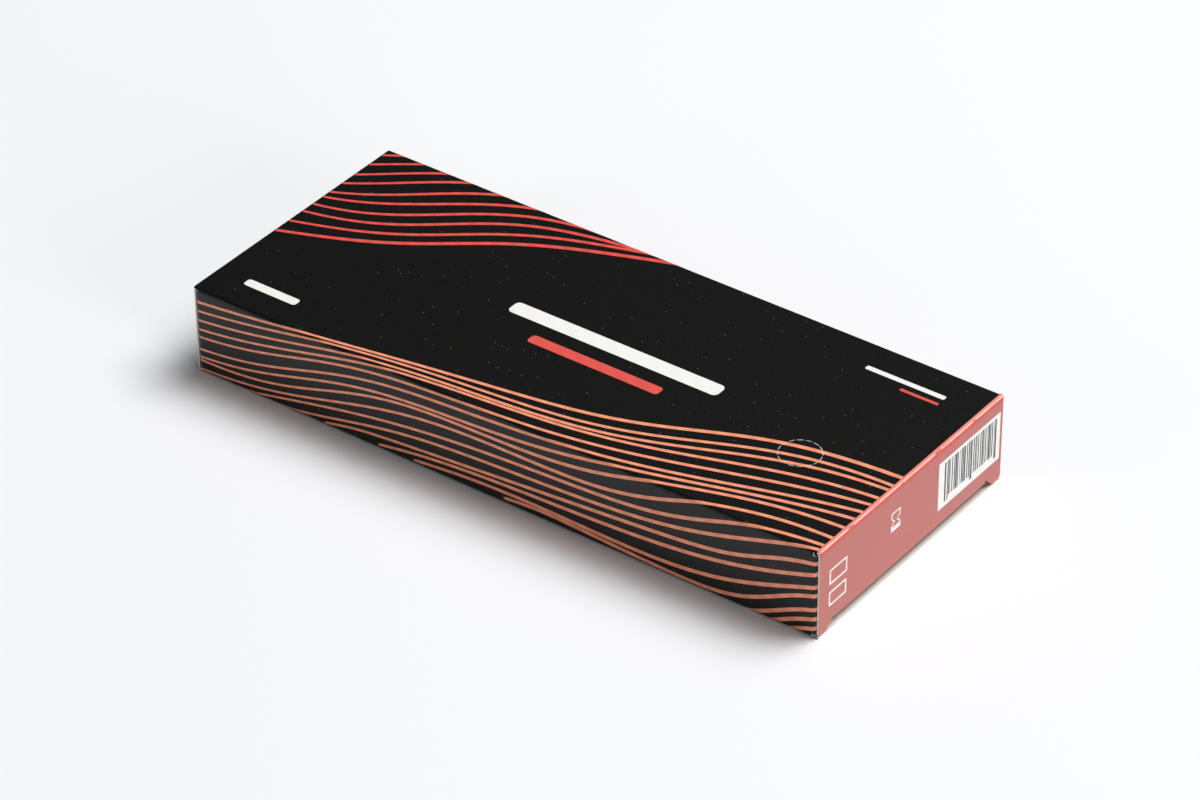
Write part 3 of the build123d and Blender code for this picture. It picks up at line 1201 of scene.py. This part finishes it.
@dataclass
class Closure:
    """An end panel with its ears and tuck flap: printed outside, bare inside and on its cut edges."""

    sizes: CartonSizes
    right: bool
    ink: PrintedBoard
    bleed: float = 4.0 * MM
    tuck_zone: float = 6.0 * MM
    tuck_reach: float = 14.0 * MM

    def dress(self, node: bpy.types.Object) -> None:
        """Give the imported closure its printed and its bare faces.

        Args:
            node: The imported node's object.
        """
        c = self.sizes
        sign = 1 if self.right else -1

        def bare(middle: np.ndarray, normal: np.ndarray) -> np.ndarray:
            """Tell which faces carry no print: all but the panel, the tuck's outer side and the bead."""
            x, _, z = middle
            nx, ny, nz = normal
            out = x * sign
            down = -nz * sign
            tuck_side = (z if self.right else c.height - z) < self.tuck_zone
            face = (out > c.end - 0.02 * MM) & (nx * sign > 0.9)
            turned = tuck_side & (np.abs(ny) < 0.2) & (out > c.end - self.tuck_reach)
            turned &= (down > 0.2) & (down < 0.9999)
            bead = ~tuck_side & (np.abs(ny) < 0.5) & ((nx * sign > 0.1) | (nz * sign > 0.1))
            return ~(face | turned | bead)

        white = BareBoard(f"{node.name}_bare_board", "#E9EBE6").build()
        dress_faces(node, (self.ink.build(self.unprinted), white), bare)

    def unprinted(self, tree: bpy.types.NodeTree, coords: bpy.types.NodeSocket) -> bpy.types.NodeSocket:
        """Mask of the bare board on the tuck flap, past the bleed of the ink round its fold."""
        axes = add_node(tree, "ShaderNodeSeparateXYZ", {"Vector": coords})
        along = add_node(tree, "ShaderNodeMath", {0: axes.outputs["X"]}, operation="ABSOLUTE")
        printed = beyond(tree, along.outputs[0], self.sizes.end - self.bleed)
        return add_node(tree, "ShaderNodeMath", {0: 1.0, 1: printed}, operation="SUBTRACT").outputs[0]


@dataclass
class EndPrint:
    """Printing on the red closure: a white panel with plain bars, two empty frames and an hourglass."""

    sizes: CartonSizes
    ink_height: float = 0.015 * MM
    frame_line: float = 0.62 * MM

    def place(self, a: np.ndarray, b: np.ndarray, height: float) -> np.ndarray:
        """Put flat coordinates, across from the front edge and up from the underside, on the right end."""
        c = self.sizes
        return np.stack([np.full_like(a, c.end + height), a - c.side, b], -1)

    def box(self, low: tuple[float, float], high: tuple[float, float], radius: float) -> np.ndarray:
        """Outline of a rounded box between two corners given in millimetres."""
        corner, far = np.array(low) * MM, np.array(high) * MM
        return rounded_outline(*(far - corner), radius * MM, steps=3) + (corner + far) / 2

    def panel(self) -> list[bpy.types.Object]:
        """Make the white panel and its bars.

        The bars' widths and gaps come from sines of the bar's number.

        Returns:
            Both pieces.
        """
        white = PrintedInk("panel_white", "#F3F2EE", depth=0.02).build()
        dark = PrintedInk("bar_ink", "#2A2F2E", depth=0.1).build()
        ground, bars = MeshParts(), MeshParts()
        ground.add_plate([self.box((55.5, 7.6), (85.0, 22.7), 0.15)], self.place, self.ink_height)
        start, span, head = 58.3, 25.08, 21.6
        count = 30
        steps = np.arange(count)
        widths = 1 + np.floor(1.5 + 1.4 * np.sin(steps * 2.17 + 0.6) * np.cos(steps * 0.9))
        gaps = 1 + np.floor(1.35 + 1.3 * np.sin(steps * 1.63 + 2.0))
        unit = span / (widths + gaps).sum()
        lefts = start + unit * np.concatenate([[0], np.cumsum(widths + gaps)[:-1]])
        for index, (left, width) in enumerate(zip(lefts, widths)):
            guard = index in (0, 1, count // 2 - 1, count // 2, count - 2, count - 1)
            bar = self.box((left, 9.0 if guard else 10.3), (left + width * unit, head), 0.01)
            bars.add_plate([bar], self.place, self.ink_height, self.ink_height)
        return [ground.build("end_panel", white), bars.build("end_bars", dark)]

    def frames(self) -> bpy.types.Object:
        """Make the two empty frames and the hourglass."""
        pale = PrintedInk("frame_ink", "#F1EDE8", depth=0.03).build()
        parts = MeshParts()
        line = self.frame_line / MM
        for low, high in (((5.0, 14.4), (13.0, 19.2)), ((4.9, 7.6), (12.8, 12.2))):
            inner = self.box((low[0] + line, low[1] + line), (high[0] - line, high[1] - line), 0.1)
            parts.add_plate([self.box(low, high, 0.3), inner], self.place, self.ink_height)
        left, right, foot, head = 33.2, 37.5, 14.0, 20.0
        middle = (left + right) / 2
        stroke, sand_top = 0.45, foot + 1.4
        sand = np.array([[left, foot], [right, foot], [right, sand_top], [left, sand_top]]) * MM
        parts.add_plate([sand], self.place, self.ink_height)

        def glass(inset: float, base: float, lid: float, shoulder: float, neck: float) -> np.ndarray:
            """Outline of the glass over the sand, set in from its sides and drawn in to its neck."""
            half = (right - left) / 2 - inset
            lower = [(half, base), (half, foot + shoulder), (neck, (foot + head) / 2)]
            right_side = lower + [(half, head - shoulder), (half, lid)]
            left_side = [(-x, y) for x, y in reversed(right_side)]
            return (np.array(left_side[-1:] + right_side + left_side[:-1]) + (middle, 0)) * MM

        outer = glass(0.0, sand_top, head, 1.9, 0.9)
        inner = glass(stroke, sand_top + 0.05, head - stroke, 1.8, 0.35)
        parts.add_plate([outer, inner], self.place, self.ink_height)
        return parts.build("end_frames", pale)


# Packed kit


@dataclass
class SealedPack:
    """Two films sealed round their rim over something flat or thin, made as one closed pillow.

    Height over the seal is a product of two flat topped bells, one along and one across, plus shallow
    wrinkles that fade towards the rim.
    """

    node: str
    seal: float
    flat_power: float
    wrinkle: float
    rows: int = 150
    columns: int = 80

    def build(self, name: str, material: bpy.types.Material) -> bpy.types.Object:
        """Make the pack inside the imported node's box.

        Args:
            name: Name of the piece.
            material: Its film.

        Returns:
            The piece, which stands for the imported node.
        """
        low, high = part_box(self.node)
        size = np.array(high - low)
        centre = np.array(high + low) / 2
        u, v = np.meshgrid(np.linspace(-1, 1, self.rows), np.linspace(-1, 1, self.columns), indexing="ij")
        film = 0.12 * MM
        reach_u = np.clip((1 - np.abs(u)) * size[0] / 2 - self.seal, 0, None) / (size[0] / 2 - self.seal)
        reach_v = np.clip((1 - np.abs(v)) * size[1] / 2 - self.seal, 0, None) / (size[1] / 2 - self.seal)
        bell = (1 - (1 - reach_u) ** (2 * self.flat_power)) * (1 - (1 - reach_v) ** self.flat_power)
        waves = np.sin(17 * u + 5 * v) * np.sin(11 * v - 4 * u + 1.3) + 0.5 * np.sin(31 * u - 9 * v + 0.7)
        upper = film + bell * (size[2] / 2 - film - self.wrinkle) + self.wrinkle * 0.6 * waves * np.sqrt(bell)
        lower = -film - bell * (size[2] / 2 - film)
        x = centre[0] + u * size[0] / 2
        y = centre[1] + v * size[1] / 2
        sheets = [np.stack([x, y, centre[2] + h], -1).reshape(-1, 3) for h in (upper, lower)]
        count = self.rows * self.columns
        index = np.arange(count).reshape(self.rows, self.columns)
        quad = np.stack([index[:-1, :-1], index[1:, :-1], index[1:, 1:], index[:-1, 1:]], -1).reshape(-1, 4)
        rim = np.concatenate([index[:, 0], index[-1, 1:], index[-2::-1, -1], index[0, -2:0:-1]])
        after = np.roll(rim, -1)
        wall = np.stack([rim, rim + count, after + count, after], -1)
        faces = np.concatenate([quad, quad[:, ::-1] + count, wall]).tolist()
        piece = make_piece(name, np.concatenate(sheets), faces, material, smooth=True)
        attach(piece, Body.CARTON.value)
        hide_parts(self.node)
        return piece


@dataclass
class Kit:
    """What lies in the carton: leaflet, foil pouch, swab pack, buffer tube and its dropper cap."""

    nodes: dict

    def finish_node(self, name: str, material: bpy.types.Material) -> None:
        """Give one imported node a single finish."""
        mesh = self.nodes[name].data
        mesh.materials.clear()
        mesh.materials.append(material)

    def build(self) -> None:
        """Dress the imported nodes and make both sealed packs."""
        paper = BareBoard("leaflet_paper", "#EFEEEA", "#DEDCD5", fibre=0.4 * MM).build()
        self.finish_node("leaflet", paper)
        tube = MouldedPlastic("tube_plastic", "#E6ECEE", 0.3, transmission=0.25).build()
        self.finish_node("buffer_tube", tube)
        self.finish_node("dropper_cap", MouldedPlastic("cap_plastic", "#F0F0EE", 0.42).build())
        pouch = SealedPack("foil_pouch", seal=7 * MM, flat_power=4.0, wrinkle=0.35 * MM)
        pouch.build("foil_pouch_film", FoilLaminate().build())
        swab = SealedPack("swab_pack", seal=5 * MM, flat_power=2.2, wrinkle=0.15 * MM, columns=40)
        film = BareBoard("peel_paper", "#EEF0F2", "#D9DDE2", fibre=0.5 * MM, roughness=0.5).build()
        swab.build("swab_pack_film", film)


# Studio


@dataclass(frozen=True)
class Studio:
    """Pale floor, soft light from overhead and the photograph's view of the carton."""

    azimuth: float = -36.60
    elevation: float = 35.15
    roll: float = -0.41
    offset: tuple[float, float] = (-0.07, -0.23)
    distance: float = 49.17
    focal_pixels: float = 4994.9
    frame_pixels: float = 1200.0
    sensor: float = 36.0
    floor_size: float = 14.0
    floor_colour: str = "#F2F3F5"

    def camera(self, height: float) -> None:
        """Place the camera.

        Its distance and offsets are counted in carton heights, as they were solved from the carton's corners.

        Args:
            height: The carton's height.
        """
        yaw, pitch, roll = (math.radians(a) for a in (self.azimuth, self.elevation, self.roll))
        forward = Vector((math.sin(yaw) * math.cos(pitch), math.cos(yaw) * math.cos(pitch), -math.sin(pitch)))
        level = Vector((math.cos(yaw), -math.sin(yaw), 0))
        upward = level.cross(forward)
        right = math.cos(roll) * level + math.sin(roll) * upward
        up = math.cos(roll) * upward - math.sin(roll) * level
        place = -(right * self.offset[0] + up * self.offset[1] + forward * self.distance) * height
        data = bpy.data.cameras.new("photo_view")
        data.sensor_width = self.sensor
        data.lens = self.focal_pixels / self.frame_pixels * self.sensor
        camera = bpy.data.objects.new("photo_view", data)
        axes = Matrix((right, up, -forward)).transposed()
        camera.matrix_world = Matrix.Translation(place) @ axes.to_4x4()
        bpy.context.scene.collection.objects.link(camera)
        bpy.context.scene.camera = camera

    def floor(self) -> None:
        """Lay the floor, a plain pale matt sheet."""
        half = self.floor_size / 2
        corners = [(-half, -half, 0), (half, -half, 0), (half, half, 0), (-half, half, 0)]
        mesh = bpy.data.meshes.new("floor")
        mesh.from_pydata(corners, [], [(0, 1, 2, 3)])
        material = bpy.data.materials.new("floor_paper")
        material.use_nodes = True
        shader = material.node_tree.nodes["Principled BSDF"]
        shader.inputs["Base Color"].default_value = linear(self.floor_colour)
        shader.inputs["Roughness"].default_value = 0.9
        shader.inputs["Specular IOR Level"].default_value = 0.0
        mesh.materials.append(material)
        floor = bpy.data.objects.new("floor", mesh)
        bpy.context.scene.collection.objects.link(floor)

    def lamp(self, name: str, place: tuple[float, float, float], size: float, watts: float) -> None:
        """Hang a square soft box that faces the carton.

        Args:
            name: Name of the lamp.
            place: Its middle.
            size: Length of its side.
            watts: Its power.
        """
        data = bpy.data.lights.new(name, "AREA")
        data.size = size
        data.energy = watts
        lamp = bpy.data.objects.new(name, data)
        lamp.location = place
        lamp.rotation_euler = (-Vector(place)).to_track_quat("-Z", "Y").to_euler()
        bpy.context.scene.collection.objects.link(lamp)

    def light(self) -> None:
        """Light the set from one large box behind on the right, with weak low boxes on two sides."""
        self.lamp("back_right_box", (1.6, 2.0, 4.6), 3.4, 330.0)
        self.lamp("right_box", (4.2, -1.0, 1.3), 1.6, 48.0)
        self.lamp("front_box", (-1.8, -4.2, 1.0), 1.6, 18.0)
        world = bpy.data.worlds.new("studio")
        world.use_nodes = True
        world.node_tree.nodes["Background"].inputs["Color"].default_value = linear("#F4F6FA")
        world.node_tree.nodes["Background"].inputs["Strength"].default_value = 0.06
        bpy.context.scene.world = world

    def build(self, height: float) -> None:
        """Set up camera, floor and light.

        Args:
            height: The carton's height.
        """
        bpy.context.scene.view_settings.view_transform = "Standard"
        self.camera(height)
        self.floor()
        self.light()


def main() -> None:
    """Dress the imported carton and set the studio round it."""
    logging.basicConfig(level=logging.INFO, format="%(message)s")
    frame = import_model()
    nodes = frame["nodes"]
    sizes = CartonSizes.from_frame()
    skin = BoardSkin(sizes)
    Studio().build(sizes.height)

    sleeve = PrintedSleeve(sizes)
    sleeve.dress(nodes["sleeve"])
    printed = sleeve.lines(skin) + sleeve.fields() + [PushOutCircle(sizes).build()]
    for piece in printed:
        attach(piece, Body.CARTON.value)

    red_print = PrintedBoard(
        "red_print", "#BD6E67", mottle_depth=0.05, speck_colour="#E0A09A", speck_radius=0.05 * MM
    )
    black_print = PrintedBoard("left_black_print", "#0B0A09")
    Closure(sizes, True, red_print).dress(nodes["right_closure"])
    Closure(sizes, False, black_print).dress(nodes["left_closure"])
    end_print = EndPrint(sizes)
    end_pieces = end_print.panel() + [end_print.frames()]
    for piece in end_pieces:
        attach(piece, Body.RIGHT_END.value)
    for piece in printed + end_pieces:
        log.info("%s: %d faces", piece.name, len(piece.data.polygons))

    # First colour: the ink painted lighter, a painted highlight on the bend; second: the plain ink; third: the
    # cracks.
    red_crease = CrackedCrease("cracked_red_crease_painted_highlight", "#EE8A7C", "#DC4A3A")
    black_crease = CrackedCrease("cracked_black_crease_painted_highlight", "#131211", "#0E0D0C", "#5B5A57")
    Crease(sizes, True, "right_crease", red_crease).build()
    Crease(sizes, False, "left_crease", black_crease).build()
    Kit(nodes).build()


if __name__ == "__main__":
    main()
